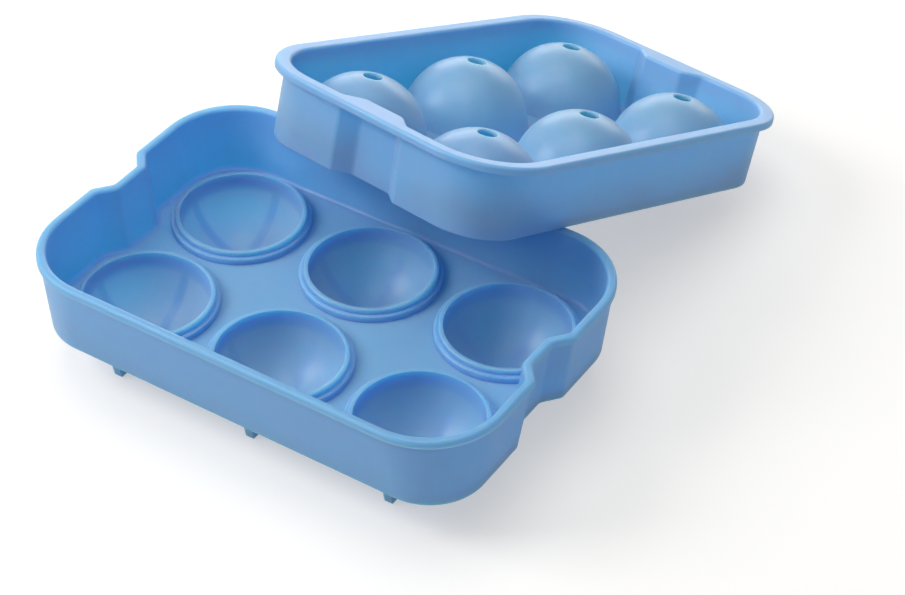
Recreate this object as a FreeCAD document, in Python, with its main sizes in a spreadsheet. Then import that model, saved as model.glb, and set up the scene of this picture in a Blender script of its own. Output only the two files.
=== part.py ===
import FreeCAD, Part
import math
import os
import Sketcher

# Ice ball mould: a lower tray with six hemispherical cups and an upper tray with six domes.
# Heights are counted from the parting plane of the balls; each tray is drawn about its own centre.
SIZES = [
    ("ball_radius", 22.5, "inside radius of a cup and of a dome"),
    ("ball_columns", 3, "balls along the tray"),
    ("ball_rows", 2, "balls across the tray"),
    ("pitch_along", 57.0, "ball spacing along the tray"),
    ("pitch_across", 55.8, "ball spacing across the tray"),
    ("rim_length", 184.0, "lower tray over the rim"),
    ("rim_width", 124.0, "lower tray across the rim"),
    ("rim_height", 22.0, "rim above the parting plane"),
    ("rim_band", 3.2, "breadth of the rim's top face"),
    ("lip_overhang", 0.6, "lip of the rim past the wall"),
    ("lip_height", 2.6, "depth of the lip"),
    ("corner_radius", 29.5, "plan corner at the rim"),
    ("corner_tighten", 0.12, "loss of corner radius per mm of depth"),
    ("wall_lean", 0.13, "draft of the walls per mm of depth"),
    ("wall", 2.0, "wall and plate of the lower tray"),
    ("floor_depth", 4.2, "tray floor below the parting plane"),
    ("skirt_depth", 2.9, "lower wall past the underside of its plate"),
    ("foot_depth", 25.0, "feet below the parting plane"),
    ("cup_wall", 1.9, "thickness of a cup"),
    ("lip_ring", 1.7, "breadth of the lip round a cup"),
    ("lip_ring_height", 1.8, "lip round a cup above its collar"),
    ("lip_ring_round", 0.8, "rounding of the lip round a cup"),
    ("collar", 3.3, "collar round a cup, from its mouth"),
    ("collar_round", 0.7, "rounding of the collar"),
    ("fin_thickness", 3.0, "thickness of a foot fin"),
    ("fin_reach", 18.8, "fin at the foot, from the cup's axis"),
    ("fin_flare", 0.2, "outward lean of a fin per mm of height"),
    ("fin_round", 1.0, "rounding of a fin at the foot"),
    ("notch_depth", 5.2, "finger notch into the short wall"),
    ("notch_flat", 13.0, "flat bottom of the notch"),
    ("notch_mouth", 26.0, "mouth of the notch"),
    ("notch_round", 3.2, "rounding of the notch"),
    ("edge_round", 1.2, "rounding of the rim"),
    ("foot_round", 0.7, "rounding of the lower edge of a wall"),
    ("floor_round", 2.0, "rounding between wall and floor"),
    ("nest_gap", 0.8, "room between the nested walls at their foot"),
    ("rim_gap", 1.8, "room between the nested walls at the rim"),
    ("seat_gap", 0.1, "room between seating faces"),
    ("foot_gap", 0.3, "upper tray's wall above the lower tray's floor"),
    ("upper_wall", 1.8, "wall and plate of the upper tray"),
    ("plate_round", 1.0, "rounding between wall and plate of the upper tray"),
    ("flange_setback", 1.2, "flange inside the rim's edge"),
    ("flange_thickness", 2.8, "flange of the upper tray"),
    ("flange_round", 1.2, "rounding of the flange"),
    ("dome_wall", 1.5, "thickness of a dome"),
    ("dome_skirt", 4.0, "flared foot of a dome above the parting plane"),
    ("vent_radius", 3.5, "filling hole on top of a dome"),
    ("vent_round", 0.4, "rounding of the filling hole"),
    ("lean_overhang", 44.0, "upper tray past the rim that it leans on"),
    ("lean_turn", 11.6, "turn of the upper tray on its slope, degrees"),
    ("lean_shift", 13.0, "upper tray to the right of the lower tray's centre"),
    ("rest_gap", 0.2, "room between the upper tray and the rim"),
]

NEAR = 0.01


def make_sheet(document):
    sheet = document.addObject("Spreadsheet::Sheet", "sizes")
    for row, (alias, value, meaning) in enumerate(SIZES, 1):
        sheet.set("A%d" % row, meaning)
        sheet.set("B%d" % row, str(value))
        sheet.setAlias("B%d" % row, alias)
    document.recompute()
    return sheet


def sketch_on(body, name, role, offset):
    sketch = body.newObject("Sketcher::SketchObject", name)
    plane = [item for item in body.Origin.OriginFeatures if item.Role == role][0]
    sketch.AttachmentSupport = (plane, [""])
    sketch.MapMode = "FlatFace"
    sketch.setExpression(".AttachmentOffset.Base.z", offset)
    return sketch


# Sketch helpers: every size of a sketch is a dimension bound to the sheet.

def bind(sketch, constraint, expression):
    index = sketch.addConstraint(constraint)
    sketch.setExpression("Constraints[%d]" % index, expression)


def pin_point(sketch, item, end, across, up):
    for kind, axis, expression in (("DistanceX", -2, across), ("DistanceY", -1, up)):
        if expression == "0":
            sketch.addConstraint(Sketcher.Constraint("PointOnObject", item, end, axis))
        else:
            value = float(sketch.evalExpression(expression))
            bind(sketch, Sketcher.Constraint(kind, -1, 1, item, end, value), expression)


def place(sketch, corner):
    return FreeCAD.Vector(float(sketch.evalExpression(corner[0])), float(sketch.evalExpression(corner[1])), 0)


def fillet_ends(before, corner, after, radius):
    inward = (before - corner).normalize()
    outward = (after - corner).normalize()
    half = inward.getAngle(outward) / 2
    reach = radius / math.tan(half)
    centre = corner + (inward + outward).normalize() * (radius / math.sin(half))
    return corner + inward * reach, centre, corner + outward * reach


def rounded_outline(sketch, corners):
    """Closed outline of straight sides; each corner is (across, up, radius), radius None is sharp."""
    points = [place(sketch, corner) for corner in corners]
    count = len(corners)
    starts = list(points)
    ends = list(points)
    arcs = {}
    for index, corner in enumerate(corners):
        if corner[2] is None:
            continue
        radius = float(sketch.evalExpression(corner[2]))
        first, centre, last = fillet_ends(points[index - 1], points[index], points[(index + 1) % count], radius)
        ends[index] = first
        starts[index] = last
        arcs[index] = (first, centre, last, radius, corner[2])
    sides = []
    for index in range(count):
        after = (index + 1) % count
        sides.append(sketch.addGeometry(Part.LineSegment(starts[index], ends[after])))
    for index, corner in enumerate(corners):
        before = sides[index - 1]
        here = sides[index]
        if index not in arcs:
            sketch.addConstraint(Sketcher.Constraint("Coincident", before, 2, here, 1))
            pin_point(sketch, here, 1, corner[0], corner[1])
            continue
        first, centre, last, radius, radius_size = arcs[index]
        turn = (first - centre).cross(last - centre).z
        begin, finish = (first, last) if turn > 0 else (last, first)
        angles = [math.atan2((point - centre).y, (point - centre).x) for point in (begin, finish)]
        circle = Part.Circle(centre, FreeCAD.Vector(0, 0, 1), radius)
        arc = sketch.addGeometry(Part.ArcOfCircle(circle, angles[0], angles[1]))
        knot = sketch.addGeometry(Part.Point(points[index]), True)
        pin_point(sketch, knot, 1, corner[0], corner[1])
        sketch.addConstraint(Sketcher.Constraint("PointOnObject", knot, 1, before))
        sketch.addConstraint(Sketcher.Constraint("PointOnObject", knot, 1, here))
        into, out_of = (1, 2) if turn > 0 else (2, 1)
        sketch.addConstraint(Sketcher.Constraint("Tangent", before, 2, arc, into))
        sketch.addConstraint(Sketcher.Constraint("Tangent", arc, out_of, here, 1))
        bind(sketch, Sketcher.Constraint("Radius", arc, radius), radius_size)


def round_profile(sketch, arc_ends, arc_radius, corners):
    """Profile of a turned form: one arc about the origin, then straight sides back to its start."""
    first, last = [place(sketch, end) for end in arc_ends]
    radius = float(sketch.evalExpression(arc_radius))
    turn = first.cross(last).z
    begin, finish = (first, last) if turn > 0 else (last, first)
    angles = [math.atan2(point.y, point.x) for point in (begin, finish)]
    circle = Part.Circle(FreeCAD.Vector(0, 0, 0), FreeCAD.Vector(0, 0, 1), radius)
    arc = sketch.addGeometry(Part.ArcOfCircle(circle, angles[0], angles[1]))
    begin_end, finish_end = (1, 2) if turn > 0 else (2, 1)
    sketch.addConstraint(Sketcher.Constraint("Coincident", arc, 3, -1, 1))
    bind(sketch, Sketcher.Constraint("Radius", arc, radius), arc_radius)
    chain = [arc_ends[1]] + corners + [arc_ends[0]]
    points = [place(sketch, corner) for corner in chain]
    previous, previous_end = arc, finish_end
    for index in range(len(chain) - 1):
        side = sketch.addGeometry(Part.LineSegment(points[index], points[index + 1]))
        sketch.addConstraint(Sketcher.Constraint("Coincident", previous, previous_end, side, 1))
        if index:
            pin_point(sketch, side, 1, chain[index][0], chain[index][1])
        previous, previous_end = side, 2
    sketch.addConstraint(Sketcher.Constraint("Coincident", previous, 2, arc, begin_end))
    for end, corner in ((begin_end, arc_ends[0]), (finish_end, arc_ends[1])):
        if corner[0] == "0":
            sketch.addConstraint(Sketcher.Constraint("PointOnObject", arc, end, -2))
        else:
            value = float(sketch.evalExpression(corner[1]))
            if corner[1] == "0":
                sketch.addConstraint(Sketcher.Constraint("PointOnObject", arc, end, -1))
            else:
                bind(sketch, Sketcher.Constraint("DistanceY", -1, 1, arc, end, value), corner[1])


# Outlines of the walls at a height, drawn in by an inset, with a finger notch in each short side.

CORNER_SIGNS = [("", ""), ("-", ""), ("-", "-"), ("", "-")]


def lean_in(offset, height):
    return "(%s + (sizes.rim_height - (%s)) * sizes.wall_lean)" % (offset, height)


def plain_outline(inset, depth):
    length = "(sizes.rim_length / 2 - %s)" % inset
    width = "(sizes.rim_width / 2 - %s)" % inset
    radius = "(sizes.corner_radius - %s - %s * sizes.corner_tighten)" % (inset, depth)
    return [(across + length, up + width, radius) for across, up in CORNER_SIGNS]


def notched_outline(inset, depth):
    length = "(sizes.rim_length / 2 - %s)" % inset
    slope = "((sizes.notch_mouth - sizes.notch_flat) / 2)"
    spread = "(%s * (sqrt(sizes.notch_depth ^ 2 + %s ^ 2) - %s) / sizes.notch_depth)" % (inset, slope, slope)
    flat = "(sizes.notch_flat / 2 + %s)" % spread
    mouth = "(sizes.notch_mouth / 2 + %s)" % spread
    bottom = "(%s - sizes.notch_depth)" % length
    notch = [(length, "-" + mouth), (bottom, "-" + flat), (bottom, flat), (length, mouth)]
    right = [(across, up, "sizes.notch_round") for across, up in notch]
    left = [("-" + across, up, "sizes.notch_round") for across, up in reversed(notch)]
    corners = plain_outline(inset, depth)
    return right + corners[:2] + left + corners[2:]


def outline_sketch(body, name, height, inset, outline=notched_outline):
    sketch = sketch_on(body, name, "XY_Plane", height)
    rounded_outline(sketch, outline(inset, "(sizes.rim_height - (%s))" % height))
    return sketch


def loft(body, kind, name, sketches):
    feature = body.newObject("PartDesign::" + kind, name)
    feature.Profile = sketches[0]
    feature.Sections = sketches[1:]
    feature.Ruled = True
    return feature


def pad(body, name, sketch, length, symmetric=False):
    feature = body.newObject("PartDesign::Pad", name)
    feature.Profile = sketch
    feature.SideType = "Symmetric" if symmetric else "One side"
    feature.setExpression("Length", length)
    return feature


def turned(body, kind, name, sketch):
    feature = body.newObject("PartDesign::" + kind, name)
    feature.Profile = sketch
    feature.ReferenceAxis = (sketch, ["V_Axis"])
    feature.Angle = 360
    return feature


def round_edges(body, name, radius, chosen):
    """Fillet on the edges of the body so far for which the test is true."""
    body.Document.recompute()
    base = body.Tip
    names = []
    for index, edge in enumerate(base.Shape.Edges, 1):
        if chosen(edge):
            names.append("Edge%d" % index)
    feature = body.newObject("PartDesign::Fillet", name)
    feature.Base = (base, names)
    feature.setExpression("Radius", radius)
    return feature


def level_test(height):
    def lies_level(edge):
        box = edge.BoundBox
        return abs(box.ZMin - height) < NEAR and abs(box.ZMax - height) < NEAR
    return lies_level


def ring_test(radius, height):
    level = level_test(height)

    def is_ring(edge):
        if not level(edge) or not isinstance(edge.Curve, Part.Circle):
            return False
        return abs(edge.Curve.Radius - radius) < NEAR
    return is_ring


def at_first_ball(body, name, role):
    """Sketch plane through the axis of the ball at the low corner of the grid."""
    along = "-(sizes.ball_columns - 1) / 2 * sizes.pitch_along"
    across = "-(sizes.ball_rows - 1) / 2 * sizes.pitch_across"
    facing_front = role == "XZ_Plane"
    sketch = sketch_on(body, name, role, "-(%s)" % across if facing_front else along)
    sketch.setExpression(".AttachmentOffset.Base.x", along if facing_front else across)
    return sketch


def ball_grid(body, name, originals):
    grid = body.newObject("PartDesign::LinearPattern", name)
    grid.Originals = originals
    axes = {item.Role: item for item in body.Origin.OriginFeatures}
    grid.Direction = (axes["X_Axis"], [""])
    grid.setExpression("Length", "(sizes.ball_columns - 1) * sizes.pitch_along")
    grid.setExpression("Occurrences", "sizes.ball_columns")
    grid.Direction2 = (axes["Y_Axis"], [""])
    grid.setExpression("Length2", "(sizes.ball_rows - 1) * sizes.pitch_across")
    grid.setExpression("Occurrences2", "sizes.ball_rows")
    body.Tip = grid
    return grid


# Heights and insets that both trays use.

RIM = "sizes.rim_height"
FLOOR = "-sizes.floor_depth"
PLATE_UNDER = "-(sizes.floor_depth + sizes.wall)"
WALL_FOOT = "-(sizes.floor_depth + sizes.wall + sizes.skirt_depth)"
INNER_WALL = "(sizes.lip_overhang + sizes.wall)"
UPPER_FOOT = "-(sizes.floor_depth - sizes.foot_gap)"
UPPER_UNDER = "-(sizes.lip_ring_height - sizes.seat_gap)"
UPPER_PLATE = "(sizes.upper_wall + sizes.seat_gap - sizes.lip_ring_height)"
FLANGE_SEAT = "(sizes.rim_height + sizes.seat_gap)"
FLANGE_TOP = "(sizes.rim_height + sizes.seat_gap + sizes.flange_thickness)"
UPPER_OUTER = "(sizes.lip_overhang + sizes.wall + sizes.nest_gap)"
UPPER_INNER = "(sizes.lip_overhang + sizes.wall + sizes.nest_gap + sizes.upper_wall)"
THROAT_OUTER = "(sizes.rim_band + sizes.rim_gap)"
THROAT_INNER = "(sizes.rim_band + sizes.rim_gap + sizes.upper_wall)"


def make_lower_tray(document, size):
    body = document.addObject("PartDesign::Body", "lower_tray")
    foot = outline_sketch(body, "wall_foot", WALL_FOOT, lean_in("sizes.lip_overhang", WALL_FOOT))
    top = outline_sketch(body, "wall_top", RIM, "sizes.lip_overhang")
    loft(body, "AdditiveLoft", "wall", [foot, top])
    lip = outline_sketch(body, "lip_outline", "sizes.rim_height - sizes.lip_height", "0")
    pad(body, "lip", lip, "sizes.lip_height")
    floor = outline_sketch(body, "floor_outline", FLOOR, lean_in(INNER_WALL, FLOOR))
    opening = outline_sketch(body, "opening_outline", RIM, "sizes.rim_band")
    loft(body, "SubtractiveLoft", "basin", [floor, opening])
    skirt = outline_sketch(body, "skirt_outline", WALL_FOOT, lean_in(INNER_WALL, WALL_FOOT))
    under = outline_sketch(body, "under_outline", PLATE_UNDER, lean_in(INNER_WALL, PLATE_UNDER))
    loft(body, "SubtractiveLoft", "hollow_under_plate", [skirt, under])
    round_edges(body, "rim_rounding", "sizes.edge_round", level_test(size["rim_height"]))
    wall_foot_height = -(size["floor_depth"] + size["wall"] + size["skirt_depth"])
    round_edges(body, "foot_rounding", "sizes.foot_round", level_test(wall_foot_height))
    round_edges(body, "floor_rounding", "sizes.floor_round", level_test(-size["floor_depth"]))
    cup = make_cup(body)
    ball_grid(body, "cups", cup)
    lip_radius = size["ball_radius"] + size["lip_ring"]
    round_edges(body, "lip_ring_rounding", "sizes.lip_ring_round", ring_test(lip_radius, 0))
    collar_radius = size["ball_radius"] + size["collar"]
    collar_top = ring_test(collar_radius, -size["lip_ring_height"])
    round_edges(body, "collar_rounding", "sizes.collar_round", collar_top)
    return body


def make_cup(body):
    """Cup with its stepped lip, four foot fins in a cross below it, and the half ball cut out of it."""
    plate_middle = "-(sizes.floor_depth + sizes.wall / 2)"
    outside = "(sizes.ball_radius + sizes.cup_wall)"
    outside_at_plate = "sqrt(%s ^ 2 - (sizes.floor_depth + sizes.wall / 2) ^ 2)" % outside
    collar = "sizes.ball_radius + sizes.collar"
    lip = "sizes.ball_radius + sizes.lip_ring"
    step = "-sizes.lip_ring_height"
    bowl = at_first_ball(body, "bowl_profile", "XZ_Plane")
    bowl_arc = [("0", "-" + outside), (outside_at_plate, plate_middle)]
    ring = [(collar, plate_middle), (collar, step), (lip, step), (lip, "0"), ("0", "0")]
    round_profile(bowl, bowl_arc, outside, ring)
    features = [turned(body, "Revolution", "bowl", bowl)]
    height = "(sizes.foot_depth - sizes.floor_depth - sizes.wall / 2)"
    top_reach = "(sizes.fin_reach + sizes.fin_flare * %s)" % height
    base = "-sizes.foot_depth"
    for name, role in (("fin_along", "XZ_Plane"), ("fin_across", "YZ_Plane")):
        sketch = at_first_ball(body, name + "_outline", role)
        low = [("-sizes.fin_reach", base, "sizes.fin_round"), ("sizes.fin_reach", base, "sizes.fin_round")]
        high = [(top_reach, plate_middle, None), ("-" + top_reach, plate_middle, None)]
        rounded_outline(sketch, low + high)
        features.append(pad(body, name, sketch, "sizes.fin_thickness", True))
    hollow = at_first_ball(body, "half_ball_profile", "XZ_Plane")
    half_ball = [("0", "-sizes.ball_radius"), ("sizes.ball_radius", "0")]
    round_profile(hollow, half_ball, "sizes.ball_radius", [("0", "0")])
    features.append(turned(body, "Groove", "half_ball", hollow))
    return features


def make_upper_tray(document, size):
    body = document.addObject("PartDesign::Body", "upper_tray")
    foot = outline_sketch(body, "upper_foot", UPPER_FOOT, lean_in(UPPER_OUTER, UPPER_FOOT))
    seat = outline_sketch(body, "upper_throat", FLANGE_SEAT, THROAT_OUTER)
    loft(body, "AdditiveLoft", "upper_wall", [foot, seat])
    flange = outline_sketch(body, "flange_outline", FLANGE_SEAT, "sizes.flange_setback", plain_outline)
    pad(body, "flange", flange, "sizes.flange_thickness")
    plate = outline_sketch(body, "plate_outline", UPPER_PLATE, lean_in(UPPER_INNER, UPPER_PLATE))
    mouth = outline_sketch(body, "mouth_outline", FLANGE_TOP, THROAT_INNER)
    loft(body, "SubtractiveLoft", "upper_basin", [plate, mouth])
    skirt = outline_sketch(body, "upper_skirt_outline", UPPER_FOOT, lean_in(UPPER_INNER, UPPER_FOOT))
    under = outline_sketch(body, "upper_under_outline", UPPER_UNDER, lean_in(UPPER_INNER, UPPER_UNDER))
    loft(body, "SubtractiveLoft", "hollow_under_upper_plate", [skirt, under])
    seat_height = size["rim_height"] + size["seat_gap"]
    flange_top = seat_height + size["flange_thickness"]
    round_edges(body, "flange_rounding", "sizes.flange_round", level_test(flange_top))
    foot_height = size["foot_gap"] - size["floor_depth"]
    round_edges(body, "upper_foot_rounding", "sizes.foot_round", level_test(foot_height))
    plate_height = size["upper_wall"] + size["seat_gap"] - size["lip_ring_height"]
    round_edges(body, "plate_rounding", "sizes.plate_round", level_test(plate_height))
    ball_grid(body, "domes", make_dome(body))
    vent_height = math.sqrt((size["ball_radius"] + size["dome_wall"]) ** 2 - size["vent_radius"] ** 2)
    round_edges(body, "vent_rounding", "sizes.vent_round", ring_test(size["vent_radius"], vent_height))
    return body


def make_dome(body):
    """Dome over the upper half of a ball, flared at its foot, with a recess for the cup's lip and a vent."""
    outside = "(sizes.ball_radius + sizes.dome_wall)"
    skirt_top = "sizes.dome_skirt"
    at_skirt = "sqrt(%s ^ 2 - sizes.dome_skirt ^ 2)" % outside
    plate_middle = "(sizes.seat_gap - sizes.lip_ring_height + sizes.upper_wall / 2)"
    recess = "(sizes.ball_radius + sizes.lip_ring + sizes.seat_gap)"
    shell = at_first_ball(body, "dome_profile", "XZ_Plane")
    arc = [(at_skirt, skirt_top), ("0", outside)]
    round_profile(shell, arc, outside, [("0", plate_middle), (recess + " + sizes.dome_wall", plate_middle)])
    hollow = at_first_ball(body, "dome_hollow_profile", "XZ_Plane")
    at_vent = "sqrt(sizes.ball_radius ^ 2 - sizes.vent_radius ^ 2)"
    over = outside + " + sizes.dome_wall"
    below = "-sizes.floor_depth"
    arc = [("sizes.ball_radius", "0"), ("sizes.vent_radius", at_vent)]
    corners = [("sizes.vent_radius", over), ("0", over), ("0", below), (recess, below), (recess, "0")]
    round_profile(hollow, arc, "sizes.ball_radius", corners)
    return [turned(body, "Revolution", "dome", shell), turned(body, "Groove", "dome_hollow", hollow)]


# Pose of the upper tray: its far corner stands on the surface, its foot leans on the lower tray's back rim.

def leaning_pose(size):
    depth = size["rim_height"] + size["floor_depth"] - size["foot_gap"]
    height = depth + size["seat_gap"]
    inset = size["lip_overhang"] + size["wall"] + size["nest_gap"] + depth * size["wall_lean"]
    rounding = size["foot_round"]
    lean = math.atan((inset - size["rim_band"] - size["rim_gap"]) / height)
    drawn_in = rounding * (1 / math.cos(lean) - math.tan(lean))
    corner = size["corner_radius"] - inset - depth * size["corner_tighten"]
    turn = math.radians(size["lean_turn"])
    straight = (size["rim_length"] / 2 - inset - corner) * math.cos(turn)
    straight += (size["rim_width"] / 2 - inset - corner) * math.sin(turn)
    reach = straight + corner
    rim_contact = size["lean_overhang"] - reach
    span = straight + corner - drawn_in - rim_contact
    offset = size["edge_round"] + size["rest_gap"] + rounding
    rise = size["rim_height"] + size["foot_depth"] - size["edge_round"] - rounding
    tilt = math.atan2(offset, span) + math.asin(rise / math.hypot(span, offset))
    normal = FreeCAD.Vector(0, math.sin(tilt), math.cos(tilt))
    slope = FreeCAD.Vector(0, math.cos(tilt), -math.sin(tilt))
    rim = FreeCAD.Vector(0, size["rim_width"] / 2 - size["edge_round"], size["rim_height"] - size["edge_round"])
    below_foot = size["foot_gap"] - size["floor_depth"] - size["edge_round"] - size["rest_gap"]
    centre = rim - slope * rim_contact - normal * below_foot
    centre.x = size["lean_shift"]
    tip = FreeCAD.Rotation(FreeCAD.Vector(1, 0, 0), -math.degrees(tilt))
    spin = FreeCAD.Rotation(FreeCAD.Vector(0, 0, 1), 90 - size["lean_turn"])
    return FreeCAD.Placement(centre, tip.multiply(spin))


def stand_on_footprint(bodies):
    """Move the set so that the origin is at the middle of its footprint, on the surface it stands on."""
    bounds = FreeCAD.BoundBox()
    for body in bodies:
        bounds.add(body.Shape.optimalBoundingBox(False))
    centre = FreeCAD.Vector(bounds.Center.x, bounds.Center.y, bounds.ZMin)
    for body in bodies:
        body.Placement = FreeCAD.Placement(body.Placement.Base - centre, body.Placement.Rotation)


def check(document, bodies):
    for item in document.Objects:
        if "Invalid" in item.State or "Error" in item.State:
            raise RuntimeError("feature failed: %s %s" % (item.Label, item.State))
    for body in bodies:
        if body.Shape.isNull() or not body.Shape.isValid() or len(body.Shape.Solids) != 1:
            raise RuntimeError("bad solid: %s" % body.Label)


def main():
    document = FreeCAD.newDocument("ice_ball_mould")
    sheet = make_sheet(document)
    size = {alias: float(sheet.get(alias)) for alias, value, meaning in SIZES}
    lower = make_lower_tray(document, size)
    upper = make_upper_tray(document, size)
    document.recompute()
    upper.Placement = leaning_pose(size)
    document.recompute()
    stand_on_footprint([lower, upper])
    document.recompute()
    check(document, [lower, upper])
    os.makedirs("parts", exist_ok=True)
    for body in (lower, upper):
        body.Shape.exportStep("parts/%s.step" % body.Label)
        print(body.Label, "volume", round(body.Shape.Volume), "box", body.Shape.BoundBox)


main()
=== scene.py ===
import math

import bpy
from bpy.props import FloatProperty, FloatVectorProperty, PointerProperty
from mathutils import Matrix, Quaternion, Vector


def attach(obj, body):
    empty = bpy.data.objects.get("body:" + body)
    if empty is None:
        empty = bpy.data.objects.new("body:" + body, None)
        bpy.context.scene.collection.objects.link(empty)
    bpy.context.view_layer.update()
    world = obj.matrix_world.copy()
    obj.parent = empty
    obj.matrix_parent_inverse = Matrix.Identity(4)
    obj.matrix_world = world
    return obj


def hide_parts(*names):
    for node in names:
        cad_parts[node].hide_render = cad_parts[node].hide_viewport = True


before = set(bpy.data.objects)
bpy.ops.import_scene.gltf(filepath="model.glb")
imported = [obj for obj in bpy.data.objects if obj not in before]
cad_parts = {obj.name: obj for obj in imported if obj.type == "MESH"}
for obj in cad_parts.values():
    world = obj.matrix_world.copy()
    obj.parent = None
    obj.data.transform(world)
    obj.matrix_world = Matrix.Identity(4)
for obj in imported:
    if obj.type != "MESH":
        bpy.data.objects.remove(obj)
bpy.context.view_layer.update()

bl_info = {
    "name": "Ice Ball Mould",
    "version": (1, 0, 0),
    "blender": (4, 5, 0),
    "location": "3D View > Sidebar > Ice Mould",
    "description": "Two soft blue mouldings that make six ice balls, with a plain studio",
    "category": "Object",
}

MM = 0.001

# Ball grid of the lower tray, on the frame's axes.
PITCH = (57.0 * MM, 55.8 * MM)
BACK_ROW = -43.73 * MM

# Soft edges of the painted light and the painted fin shadows in the lower tray's cups, each from full to
# none.
# A cup's outside is counted from its axis, the plate's underside from the height of the cups' mouths, and a
# foot fin from its middle. The painted light falls off from the left side to the right.
CUP_EDGE = (22.6 * MM, 24.0 * MM)
PLATE_EDGE = (17.4 * MM, 20.0 * MM)
FIN_EDGE = (0.9 * MM, 2.6 * MM)
LIT_SIDE = (-52.0 * MM, 22.0 * MM)

# Least share of the painted fin shadow and of the painted cup light, on the right side.
LEAST_FIN_SHADOW = 0.35
LEAST_LIGHT = 0.4

# Finish of the silicone. A tint multiplies the pigment's red, green and blue, and the scatter share says how
# much of the scatter depth each of them reaches.
LOWER_TINT = (1.0, 1.0, 1.0)
# The upper tray's tint is painted light: the same silicone, made slightly paler for how the light falls on
# it.
UPPER_PAINTED_TINT = (1.12, 1.0, 0.99)
# Colour mixed into the cups as painted light, where light comes up through their thin walls.
PAINTED_GLOW_COLOUR = (0.9, 0.85, 1.0, 1.0)
REFRACTION = 1.41
SCATTER_SHARE = (0.25, 0.8, 0.9)
PIGMENT_SPREAD = 0.04
FLOW_DEPTH = 0.25 * MM
GLOSS_SPREAD = 0.16

# Sockets of a Mix node that mixes colours.
MIX_SHARE = 0
MIX_FIRST = 6
MIX_SECOND = 7
MIX_RESULT = 2

# Mesh of a piece.
MERGE_DISTANCE = 0.002 * MM
SHARP_EDGE = math.radians(40)

# Studio: floor, and each softbox with its direction from the trays, its distance and its size in metres.
FLOOR_SIZE = 6.0
FLOOR_DROP = 0.05 * MM
FLOOR_COLOUR = (0.62, 0.61, 0.59, 1.0)
WHITE = (1.0, 1.0, 1.0, 1.0)
SOFTBOXES = (
    ("key_softbox", "key_power", (-0.62, -0.45, 0.62), 1.3, (0.6, 0.6)),
    ("top_softbox", "top_power", (-0.10, 0.05, 1.00), 1.4, (0.9, 0.9)),
    ("back_panel", "back_power", (-0.40, 0.90, 0.25), 1.6, (1.8, 0.7)),
    ("front_softbox", "front_power", (0.25, -0.60, 0.95), 1.4, (0.8, 0.6)),
)


# Settings


class SiliconeSettings(bpy.types.PropertyGroup):
    """Colour and finish of the silicone that both trays are moulded from."""

    colour: FloatVectorProperty(
        name="Colour", description="Pigment of the silicone", subtype="COLOR",
        size=3, min=0.0, max=1.0, default=(0.225, 0.44, 0.76),
    )
    roughness: FloatProperty(
        name="Roughness", description="Blur of the gloss on the satin skin",
        subtype="FACTOR", min=0.0, max=1.0, default=0.36,
    )
    translucency: FloatProperty(
        name="Translucency", description="Share of the light that passes through the skin",
        subtype="FACTOR", min=0.0, max=1.0, default=1.0,
    )
    scatter_depth: FloatProperty(
        name="Scatter depth", description="How far light travels inside the silicone",
        subtype="DISTANCE", unit="LENGTH", min=0.0, default=9.0 * MM,
    )
    # Strength of the painted light in the cups: their colour is made paler where light comes through the thin
    # wall.
    painted_glow_strength: FloatProperty(
        name="Light through cups",
        description="How much paler a cup is where light comes through its thin wall",
        subtype="FACTOR", min=0.0, max=1.0, default=0.13,
    )
    grain_size: FloatProperty(
        name="Grain size", description="Spacing of the fine grain left by the tool",
        subtype="DISTANCE", unit="LENGTH", min=0.0001, default=0.35 * MM,
    )
    grain_depth: FloatProperty(
        name="Grain depth", description="Height of the fine grain",
        subtype="DISTANCE", unit="LENGTH", min=0.0, default=0.012 * MM,
    )


class StudioSettings(bpy.types.PropertyGroup):
    """Camera, light and floor of the studio."""

    azimuth: FloatProperty(
        name="Azimuth", description="Camera to the right of straight ahead",
        subtype="ANGLE", unit="ROTATION", default=math.radians(31.6),
    )
    elevation: FloatProperty(
        name="Elevation", description="Camera above the horizon",
        subtype="ANGLE", unit="ROTATION", default=math.radians(40.1),
    )
    roll: FloatProperty(
        name="Roll", description="Turn of the camera about its own axis",
        subtype="ANGLE", unit="ROTATION", default=math.radians(1.42),
    )
    distance: FloatProperty(
        name="Distance", description="Camera to the point it looks at",
        subtype="DISTANCE", unit="LENGTH", min=0.1, default=925.5 * MM,
    )
    lens: FloatProperty(
        name="Lens", description="Focal length on a sensor 36 mm wide",
        unit="CAMERA", min=1.0, default=100.58,
    )
    aim: FloatVectorProperty(
        name="Aim", description="Point on the floor that the camera looks at",
        subtype="XYZ", unit="LENGTH", size=3, default=(17.64 * MM, -16.70 * MM, 0.0),
    )
    key_power: FloatProperty(
        name="Key light", description="Power of the softbox on the left of the camera",
        unit="POWER", min=0.0, default=9.3,
    )
    top_power: FloatProperty(
        name="Top light", description="Power of the softbox overhead",
        unit="POWER", min=0.0, default=7.0,
    )
    back_power: FloatProperty(
        name="Back light", description="Power of the wide panel behind the trays",
        unit="POWER", min=0.0, default=12.0,
    )
    front_power: FloatProperty(
        name="Front light", description="Power of the softbox above the camera",
        unit="POWER", min=0.0, default=1.2,
    )
    sky_strength: FloatProperty(
        name="Fill", description="Strength of the even white light all round",
        min=0.0, default=0.18,
    )
    floor_glow: FloatProperty(
        name="Floor glow", description="Light that the white table gives off by itself",
        min=0.0, default=0.47,
    )
    floor_bounce: FloatProperty(
        name="Floor bounce", description="Share of the floor's glow that reaches the trays",
        subtype="FACTOR", min=0.0, max=1.0, default=0.3,
    )


class MouldSettings(bpy.types.PropertyGroup):
    """All settings of the ice ball mould."""

    silicone: PointerProperty(type=SiliconeSettings, name="Silicone")
    studio: PointerProperty(type=StudioSettings, name="Studio")


# Materials


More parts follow.
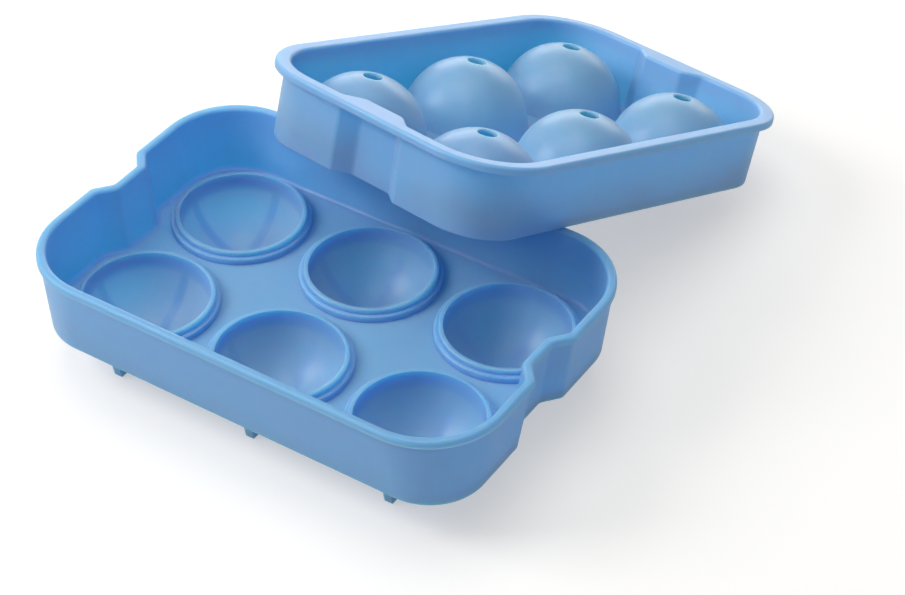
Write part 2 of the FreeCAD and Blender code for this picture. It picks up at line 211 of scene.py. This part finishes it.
def new_group(name, inputs, outputs):
    """Shader node group with named sockets, given as (name, kind, default)."""
    group = bpy.data.node_groups.new(name, "ShaderNodeTree")
    for label, kind, default in inputs:
        socket = group.interface.new_socket(name=label, in_out="INPUT", socket_type=kind)
        socket.default_value = default
    for label, kind in outputs:
        group.interface.new_socket(name=label, in_out="OUTPUT", socket_type=kind)
    entry = group.nodes.new("NodeGroupInput")
    leave = group.nodes.new("NodeGroupOutput")
    return group, entry, leave


def add_node(tree, kind, **values):
    """New node with values for its sockets or, where no socket has that name, for its own settings."""
    node = tree.nodes.new(kind)
    for name, value in values.items():
        if name in node.inputs:
            node.inputs[name].default_value = value
        else:
            setattr(node, name, value)
    return node


def arithmetic(tree, operation, *values):
    """Result of a Math node, whose values are numbers or other nodes' outputs."""
    node = tree.nodes.new("ShaderNodeMath")
    node.operation = operation
    for socket, value in zip(node.inputs, values):
        if isinstance(value, (int, float)):
            socket.default_value = value
        else:
            tree.links.new(value, socket)
    return node.outputs[0]


def moulded_skin_group():
    """Fine grain of the tool, soft flow marks of the moulding, and the gloss that varies with them."""
    inputs = [
        ("Grain Size", "NodeSocketFloat", 0.35 * MM),
        ("Grain Depth", "NodeSocketFloat", 0.01 * MM),
        ("Gloss Blur", "NodeSocketFloat", 0.42),
    ]
    outputs = [("Height", "NodeSocketFloat"), ("Roughness", "NodeSocketFloat"), ("Cloud", "NodeSocketFloat")]
    group, entry, leave = new_group("moulded_skin", inputs, outputs)
    place = group.nodes.new("ShaderNodeTexCoord").outputs["Object"]
    grain_scale = arithmetic(group, "DIVIDE", 1.0, entry.outputs["Grain Size"])
    grain = add_node(group, "ShaderNodeTexNoise", Detail=2.0, Roughness=0.6)
    flow = add_node(group, "ShaderNodeTexNoise", Scale=42.0, Detail=1.0)
    cloud = add_node(group, "ShaderNodeTexNoise", Scale=18.0, Detail=3.0)
    for noise in (grain, flow, cloud):
        group.links.new(place, noise.inputs["Vector"])
    group.links.new(grain_scale, grain.inputs["Scale"])
    fine = arithmetic(group, "MULTIPLY", grain.outputs["Fac"], entry.outputs["Grain Depth"])
    soft = arithmetic(group, "MULTIPLY", flow.outputs["Fac"], FLOW_DEPTH)
    group.links.new(arithmetic(group, "ADD", fine, soft), leave.inputs["Height"])
    spread = arithmetic(group, "MULTIPLY_ADD", cloud.outputs["Fac"], GLOSS_SPREAD, -GLOSS_SPREAD / 2)
    group.links.new(arithmetic(group, "ADD", spread, entry.outputs["Gloss Blur"]), leave.inputs["Roughness"])
    group.links.new(cloud.outputs["Fac"], leave.inputs["Cloud"])
    return group


def fade(tree, value, edge):
    """Soft step that is 1 up to the first value of an edge and 0 past the second."""
    node = add_node(tree, "ShaderNodeMapRange", interpolation_type="SMOOTHSTEP")
    for index, level in enumerate((*edge, 1.0, 0.0), 1):
        node.inputs[index].default_value = level
    tree.links.new(value, node.inputs[0])
    return node.outputs[0]


def painted_cup_glow_group():
    """Painted light where light comes up through a cup: below the plate and beside the foot fins, with
    painted shade on the fins, most in the left cups.
    """
    group, entry, leave = new_group("thin_cups", [], [("Thin", "NodeSocketFloat")])
    place = group.nodes.new("ShaderNodeTexCoord").outputs["Object"]
    axes = group.nodes.new("ShaderNodeSeparateXYZ")
    group.links.new(place, axes.inputs[0])
    along, across, height = axes.outputs
    row = arithmetic(group, "SUBTRACT", across, BACK_ROW)
    beside = arithmetic(group, "PINGPONG", along, PITCH[0] / 2)
    behind = arithmetic(group, "PINGPONG", row, PITCH[1] / 2)
    square = arithmetic(group, "POWER", behind, 2.0)
    square_sum = arithmetic(group, "MULTIPLY_ADD", beside, beside, square)
    radius = arithmetic(group, "SQRT", square_sum)
    low = fade(group, height, PLATE_EDGE)
    painted_glow = arithmetic(group, "MULTIPLY", fade(group, radius, CUP_EDGE), low)
    lit = fade(group, along, LIT_SIDE)
    # Painted shadow of the foot fins behind the thin cup wall, deepest on the left.
    depth = arithmetic(group, "MULTIPLY_ADD", lit, 1.0 - LEAST_FIN_SHADOW, LEAST_FIN_SHADOW)
    for distance in (beside, behind):
        shadow = arithmetic(group, "MULTIPLY", fade(group, distance, FIN_EDGE), depth)
        clear = arithmetic(group, "SUBTRACT", 1.0, shadow)
        painted_glow = arithmetic(group, "MULTIPLY", painted_glow, clear)
    level = arithmetic(group, "MULTIPLY_ADD", lit, 1.0 - LEAST_LIGHT, LEAST_LIGHT)
    group.links.new(arithmetic(group, "MULTIPLY", painted_glow, level), leave.inputs["Thin"])
    return group


def mix_colours(tree, share, first, second):
    """Mix of two colours, each a colour or another node's output, by a share from another node."""
    mix = add_node(tree, "ShaderNodeMix", data_type="RGBA")
    for index, value in ((MIX_SHARE, share), (MIX_FIRST, first), (MIX_SECOND, second)):
        if isinstance(value, tuple):
            mix.inputs[index].default_value = value
        else:
            tree.links.new(value, mix.inputs[index])
    return mix.outputs[MIX_RESULT]


def shade_of(colour, tint, share):
    """Pigment of a tray, made darker or lighter by a share, with full alpha."""
    return (*[min(1.0, part * tone * share) for part, tone in zip(colour, tint)], 1.0)


def silicone_material(name, settings, skin, tint, painted_glow_mask=None):
    """Satin silicone: light passes a little way in, and the pigment is faintly uneven. With a mask, painted
    light is mixed into the cups.
    """
    material = bpy.data.materials.new(name)
    material.use_nodes = True
    tree = material.node_tree
    shader = tree.nodes["Principled BSDF"]
    surface = add_node(tree, "ShaderNodeGroup", node_tree=skin)
    surface.inputs["Grain Size"].default_value = settings.grain_size
    surface.inputs["Grain Depth"].default_value = settings.grain_depth
    surface.inputs["Gloss Blur"].default_value = settings.roughness
    darker = shade_of(settings.colour, tint, 1.0 - PIGMENT_SPREAD)
    lighter = shade_of(settings.colour, tint, 1.0 + PIGMENT_SPREAD)
    pigment = mix_colours(tree, surface.outputs["Cloud"], darker, lighter)
    # Painted light: the cups are made paler where light comes up through them.
    if painted_glow_mask:
        cups = add_node(tree, "ShaderNodeGroup", node_tree=painted_glow_mask)
        through = arithmetic(tree, "MULTIPLY", cups.outputs["Thin"], settings.painted_glow_strength)
        pigment = mix_colours(tree, through, pigment, PAINTED_GLOW_COLOUR)
    tree.links.new(pigment, shader.inputs["Base Color"])
    tree.links.new(surface.outputs["Roughness"], shader.inputs["Roughness"])
    bump = add_node(tree, "ShaderNodeBump", Strength=1.0, Distance=1.0)
    tree.links.new(surface.outputs["Height"], bump.inputs["Height"])
    tree.links.new(bump.outputs["Normal"], shader.inputs["Normal"])
    shader.inputs["IOR"].default_value = REFRACTION
    shader.inputs["Subsurface Weight"].default_value = settings.translucency
    shader.inputs["Subsurface Radius"].default_value = SCATTER_SHARE
    shader.inputs["Subsurface Scale"].default_value = settings.scatter_depth
    return material


# Modelling helpers


def select_only(piece):
    """Make a piece the active one and the only one that is selected."""
    bpy.ops.object.select_all(action="DESELECT")
    piece.select_set(True)
    bpy.context.view_layer.objects.active = piece


def moulding_copy(node, name):
    """Merged, smooth copy of a CAD node's mesh as a piece of its own."""
    piece = bpy.data.objects.new(name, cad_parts[node].data.copy())
    bpy.context.collection.objects.link(piece)
    select_only(piece)
    bpy.ops.object.mode_set(mode="EDIT")
    bpy.ops.mesh.select_all(action="SELECT")
    bpy.ops.mesh.remove_doubles(threshold=MERGE_DISTANCE)
    bpy.ops.mesh.customdata_custom_splitnormals_clear()
    bpy.ops.object.mode_set(mode="OBJECT")
    bpy.ops.object.shade_smooth_by_angle(angle=SHARP_EDGE)
    bpy.ops.object.modifier_add(type="WEIGHTED_NORMAL")
    piece.modifiers[-1].keep_sharp = True
    bpy.ops.object.modifier_apply(modifier=piece.modifiers[-1].name)
    return piece


def dress(piece, material, node):
    """Give a piece its material, and put it in the place of its CAD node."""
    piece.data.materials.clear()
    piece.data.materials.append(material)
    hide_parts(node)
    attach(piece, "root")


# Operators


class MOULD_OT_lower_tray(bpy.types.Operator):
    """Lower tray with its six cups"""

    bl_idname = "mould.lower_tray"
    bl_label = "Lower Tray"

    def execute(self, context):
        settings = context.scene.ice_mould
        skin = bpy.data.node_groups.get("moulded_skin") or moulded_skin_group()
        painted_glow_mask = bpy.data.node_groups.get("thin_cups") or painted_cup_glow_group()
        material = silicone_material("lower_tray_silicone", settings.silicone, skin, LOWER_TINT, painted_glow_mask)
        piece = moulding_copy("lower_tray", "lower_tray_moulding")
        dress(piece, material, "lower_tray")
        return {"FINISHED"}


class MOULD_OT_upper_tray(bpy.types.Operator):
    """Upper tray with its six vented domes"""

    bl_idname = "mould.upper_tray"
    bl_label = "Upper Tray"

    def execute(self, context):
        settings = context.scene.ice_mould
        skin = bpy.data.node_groups.get("moulded_skin") or moulded_skin_group()
        material = silicone_material("upper_tray_silicone", settings.silicone, skin, UPPER_PAINTED_TINT)
        piece = moulding_copy("upper_tray", "upper_tray_moulding")
        dress(piece, material, "upper_tray")
        return {"FINISHED"}


class MOULD_OT_studio(bpy.types.Operator):
    """White floor, soft light and the camera"""

    bl_idname = "mould.studio"
    bl_label = "Studio"

    def execute(self, context):
        studio = context.scene.ice_mould.studio
        make_floor(studio)
        make_lights(studio)
        make_camera(studio)
        return {"FINISHED"}


# Studio


def make_floor(studio):
    """White table that glows more for the camera than for the trays."""
    bpy.ops.mesh.primitive_plane_add(size=FLOOR_SIZE, location=(0.0, 0.0, -FLOOR_DROP))
    floor = bpy.context.active_object
    floor.name = "studio_floor"
    bpy.ops.object.transform_apply(location=True, rotation=False, scale=False)
    material = bpy.data.materials.new("white_floor")
    material.use_nodes = True
    tree = material.node_tree
    shader = tree.nodes["Principled BSDF"]
    shader.inputs["Base Color"].default_value = FLOOR_COLOUR
    shader.inputs["Roughness"].default_value = 0.85
    shader.inputs["Specular IOR Level"].default_value = 0.2
    shader.inputs["Emission Color"].default_value = WHITE
    path = tree.nodes.new("ShaderNodeLightPath")
    bounced = studio.floor_glow * studio.floor_bounce
    seen = studio.floor_glow - bounced
    glow = arithmetic(tree, "MULTIPLY_ADD", path.outputs["Is Camera Ray"], seen, bounced)
    tree.links.new(glow, shader.inputs["Emission Strength"])
    floor.data.materials.append(material)


def make_lights(studio):
    """Even white light all round, and the softboxes."""
    world = bpy.data.worlds.new("white_room")
    world.use_nodes = True
    background = world.node_tree.nodes["Background"]
    background.inputs["Color"].default_value = WHITE
    background.inputs["Strength"].default_value = studio.sky_strength
    bpy.context.scene.world = world
    for name, power, direction, distance, size in SOFTBOXES:
        add_softbox(name, getattr(studio, power), direction, distance, size)


def add_softbox(name, power, direction, distance, size):
    """Rectangular lamp at a distance from the trays, turned to face them."""
    place = Vector(direction).normalized() * distance
    bpy.ops.object.light_add(type="AREA", location=place)
    lamp = bpy.context.active_object
    lamp.name = name
    lamp.data.shape = "RECTANGLE"
    lamp.data.size, lamp.data.size_y = size
    lamp.data.energy = power
    lamp.rotation_euler = (-place).to_track_quat("-Z", "Y").to_euler()


def make_camera(studio):
    """Camera at the photograph's viewing angle."""
    level = math.cos(studio.elevation)
    back = Vector((
        math.sin(studio.azimuth) * level,
        -math.cos(studio.azimuth) * level,
        math.sin(studio.elevation),
    ))
    bpy.ops.object.camera_add(location=Vector(studio.aim) + back * studio.distance)
    camera = bpy.context.active_object
    camera.name = "studio_camera"
    camera.rotation_mode = "QUATERNION"
    camera.rotation_quaternion = (-back).to_track_quat("-Z", "Y") @ Quaternion((0, 0, 1), studio.roll)
    camera.data.sensor_width = 36.0
    camera.data.lens = studio.lens
    bpy.context.scene.camera = camera
    bpy.context.scene.view_settings.view_transform = "Standard"


# Panel and registration


class MOULD_PT_panel(bpy.types.Panel):
    """Settings and pieces of the ice ball mould"""

    bl_idname = "MOULD_PT_panel"
    bl_label = "Ice Ball Mould"
    bl_space_type = "VIEW_3D"
    bl_region_type = "UI"
    bl_category = "Ice Mould"

    def draw(self, context):
        settings = context.scene.ice_mould
        for title, group in (("Silicone", settings.silicone), ("Studio", settings.studio)):
            box = self.layout.box()
            box.label(text=title)
            for name in group.__annotations__:
                box.prop(group, name)
        for operator in PIECES:
            self.layout.operator(operator.bl_idname)


PIECES = (MOULD_OT_lower_tray, MOULD_OT_upper_tray, MOULD_OT_studio)
CLASSES = (SiliconeSettings, StudioSettings, MouldSettings, *PIECES, MOULD_PT_panel)


def register():
    for item in CLASSES:
        bpy.utils.register_class(item)
    bpy.types.Scene.ice_mould = PointerProperty(type=MouldSettings)


def unregister():
    del bpy.types.Scene.ice_mould
    for item in reversed(CLASSES):
        bpy.utils.unregister_class(item)


def main():
    """Make all pieces and the studio."""
    register()
    bpy.ops.mould.lower_tray()
    bpy.ops.mould.upper_tray()
    bpy.ops.mould.studio()


if __name__ == "__main__":
    main()
